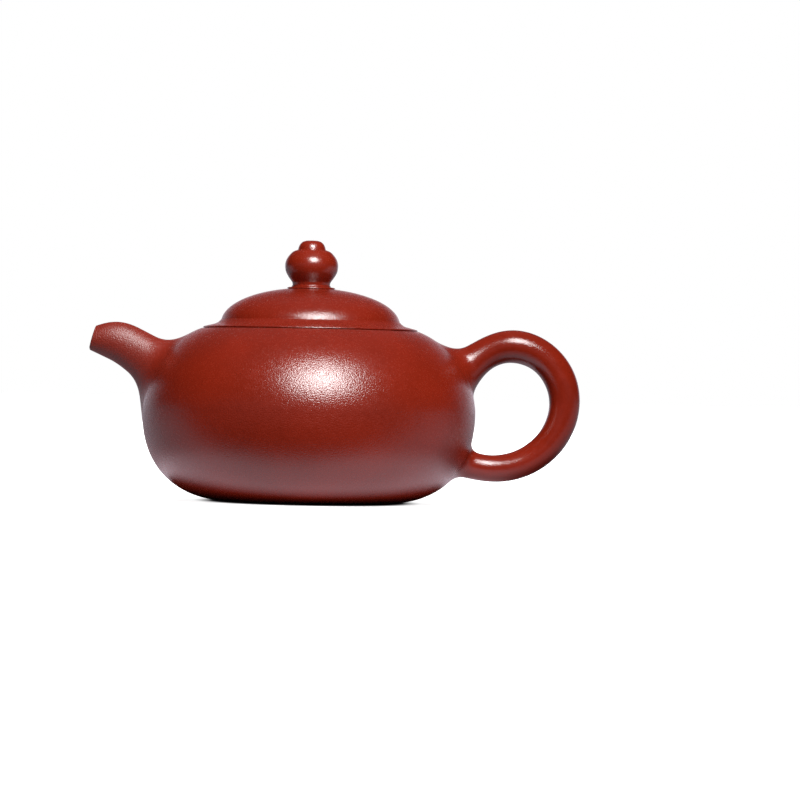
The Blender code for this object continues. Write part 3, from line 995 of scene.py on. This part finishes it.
def add_floor():
    """A plain white floor: the camera sees it glow bright with a painted shadow under the pot, and the pot
    sees a glowing painted lit patch with painted shadows.
    """
    bpy.ops.mesh.primitive_plane_add(size=FLOOR_SIZE)
    floor = bpy.context.active_object
    floor.name = "floor"
    material = bpy.data.materials.new("floor_white_painted_glow_and_shadow")
    material.use_nodes = True
    tree = material.node_tree
    nodes = Nodes(tree)
    shader = tree.nodes["Principled BSDF"]
    shader.inputs["Base Color"].default_value = FLOOR_GREY
    shader.inputs["Roughness"].default_value = 0.9
    shader.inputs["Specular IOR Level"].default_value = 0.0
    shader.inputs["Emission Color"].default_value = WHITE
    place = nodes.add("ShaderNodeTexCoord").outputs["Object"]
    away = nodes.measure("LENGTH", place)
    # the floor's glow for the camera, with a painted contact shadow and painted shade near the pot
    glow_with_painted_shade = nodes.math("MULTIPLY", nodes.ramp(away, *PAINTED_CONTACT_SHADOW), nodes.ramp(away, *SHADE))
    tree.links.new(glow_with_painted_shade, shader.inputs["Emission Strength"])

    # painted shadows of the belly and the handle, cut into the floor's painted glow that the pot reflects and
    # is lit by
    near = nodes.ramp(nodes.measure("DISTANCE", place, BELLY_SHADOW_CENTRE), *BELLY_SHADOW)
    handle = nodes.ramp(nodes.measure("DISTANCE", place, HANDLE_SHADOW_CENTRE), *HANDLE_SHADOW)
    far = nodes.ramp(away, *FAR_EDGE)
    front = nodes.ramp(nodes.measure("DOT_PRODUCT", place, FRONT_SLANT), *FRONT_EDGE)
    painted_floor_glow = nodes.math("MULTIPLY", nodes.math("MULTIPLY", near, far), nodes.math("MULTIPLY", front, handle))
    # the floor glows with a painted lit patch for every ray but the camera's
    painted_lit_patch = nodes.add("ShaderNodeEmission", {"Color": PALE, "Strength": painted_floor_glow})
    seen = nodes.add("ShaderNodeLightPath").outputs["Is Camera Ray"]
    mixed = nodes.add("ShaderNodeMixShader", {0: seen, 1: painted_lit_patch.outputs[0], 2: shader.outputs[0]})
    tree.links.new(mixed.outputs[0], tree.nodes["Material Output"].inputs["Surface"])
    floor.data.materials.append(material)


def add_panel(name, azimuth, elevation, distance, width, height, power):
    """A soft oval light that faces the pot. Azimuth 0 is in front, and 90 on the handle's side."""
    data = bpy.data.lights.new(name, "AREA")
    data.shape = "ELLIPSE"
    data.size = width
    data.size_y = height
    data.energy = power
    panel = bpy.data.objects.new(name, data)
    bpy.context.scene.collection.objects.link(panel)
    a, e = math.radians(azimuth), math.radians(elevation)
    way = Vector((math.sin(a) * math.cos(e), -math.cos(a) * math.cos(e), math.sin(e)))
    panel.location = Vector(LIGHTS_AIM) + distance * way
    panel.rotation_euler = (-way).to_track_quat("-Z", "Y").to_euler()
    return panel


def add_world():
    """A white wall behind the pot, and the darker side of the studio in front of it."""
    world = bpy.data.worlds.new("studio")
    bpy.context.scene.world = world
    world.use_nodes = True
    nodes = Nodes(world.node_tree)
    background = world.node_tree.nodes["Background"]
    way = nodes.add("ShaderNodeTexCoord").outputs["Generated"]
    parts = nodes.add("ShaderNodeSeparateXYZ", {"Vector": way})
    up = parts.outputs[2]
    level = nodes.math("SQRT", nodes.math("SUBTRACT", 1.0, nodes.math("MULTIPLY", up, up)))
    behind = nodes.math("DIVIDE", parts.outputs[1], nodes.math("MAXIMUM", level, 0.001))
    wall = nodes.math("MULTIPLY", nodes.ramp(behind, *WALL_SIDES), nodes.ramp(up, *WALL_HEIGHT))
    front = nodes.math("MULTIPLY", nodes.ramp(behind, *FRONT_SIDES), nodes.ramp(up, *FRONT_HEIGHT))
    around = nodes.sum((wall, 1.0), (front, 1.0), (nodes.ramp(up, *CEILING), 1.0))
    seen = nodes.add("ShaderNodeLightPath").outputs["Is Camera Ray"]
    tinted = nodes.mix(around, BLACK, PALE)
    nodes.tree.links.new(nodes.mix(seen, tinted, WHITE), background.inputs["Color"])


def main():
    fine = clay("fine_clay", RED, roughness=0.245, grain=0.12, pitting=0.035)
    sandy = clay(
        "sandy_clay", RED, roughness=0.245, grain=0.12, pitting=0.055, outer=(0.0378, 0.0398, 0.45)
    )
    knob = clay("burnished_clay", RED, roughness=0.24, grain=0.1, pitting=0.014)
    # the handle's darker colour is painted shade
    ear = clay(
        "burnished_handle_clay_painted_shade",
        HANDLE_RED_WITH_PAINTED_SHADE,
        roughness=0.245,
        grain=0.1,
        pitting=0.02,
        outer=(0.039, 0.047, 0.18),
        shine=0.55,
    )
    raw = clay("raw_clay", RAW_RED, roughness=0.6, grain=0.3, pitting=0.008)
    makers = (
        (make_base_disc, "base_disc", "pot", fine, "fine_clay"),
        (make_belly_wall, "belly_wall", "pot", fine, "fine_clay"),
        (make_shoulder_disc, "shoulder_disc", "pot", fine, "fine_clay"),
        (make_mouth_ring, "mouth_ring", "pot", fine, "fine_clay"),
        (make_spout, "spout", "pot", sandy, "fine_clay"),
        (make_strainer, "strainer", "pot", raw, "raw_clay"),
        (make_handle, "handle", "pot", ear, "burnished_clay"),
        (make_collar, "lid_collar", "lid", raw, "raw_clay"),
        (make_brim_plate, "lid_brim_plate", "lid", fine, "fine_clay"),
        (make_dome, "lid_dome", "lid", fine, "fine_clay"),
        (make_knob_neck, "knob_neck", "lid", knob, "burnished_clay"),
        (make_knob_bulb, "knob_bulb", "lid", knob, "burnished_clay"),
        (make_knob_button, "knob_button", "lid", knob, "burnished_clay"),
    )
    for make, node, body, material, slot in makers:
        piece = make()
        piece.data.materials.append(material)
        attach(piece, body)
        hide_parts(node)

    add_camera()
    add_floor()
    add_world()
    add_panel("key_light", azimuth=11.6, elevation=47.0, distance=0.9, width=0.45, height=0.55, power=14.3)
    fill = add_panel(
        "back_fill", azimuth=180.0, elevation=32.0, distance=1.2, width=1.0, height=0.8, power=13.0
    )
    fill.visible_glossy = False
    bpy.context.scene.view_settings.view_transform = "Standard"


main()
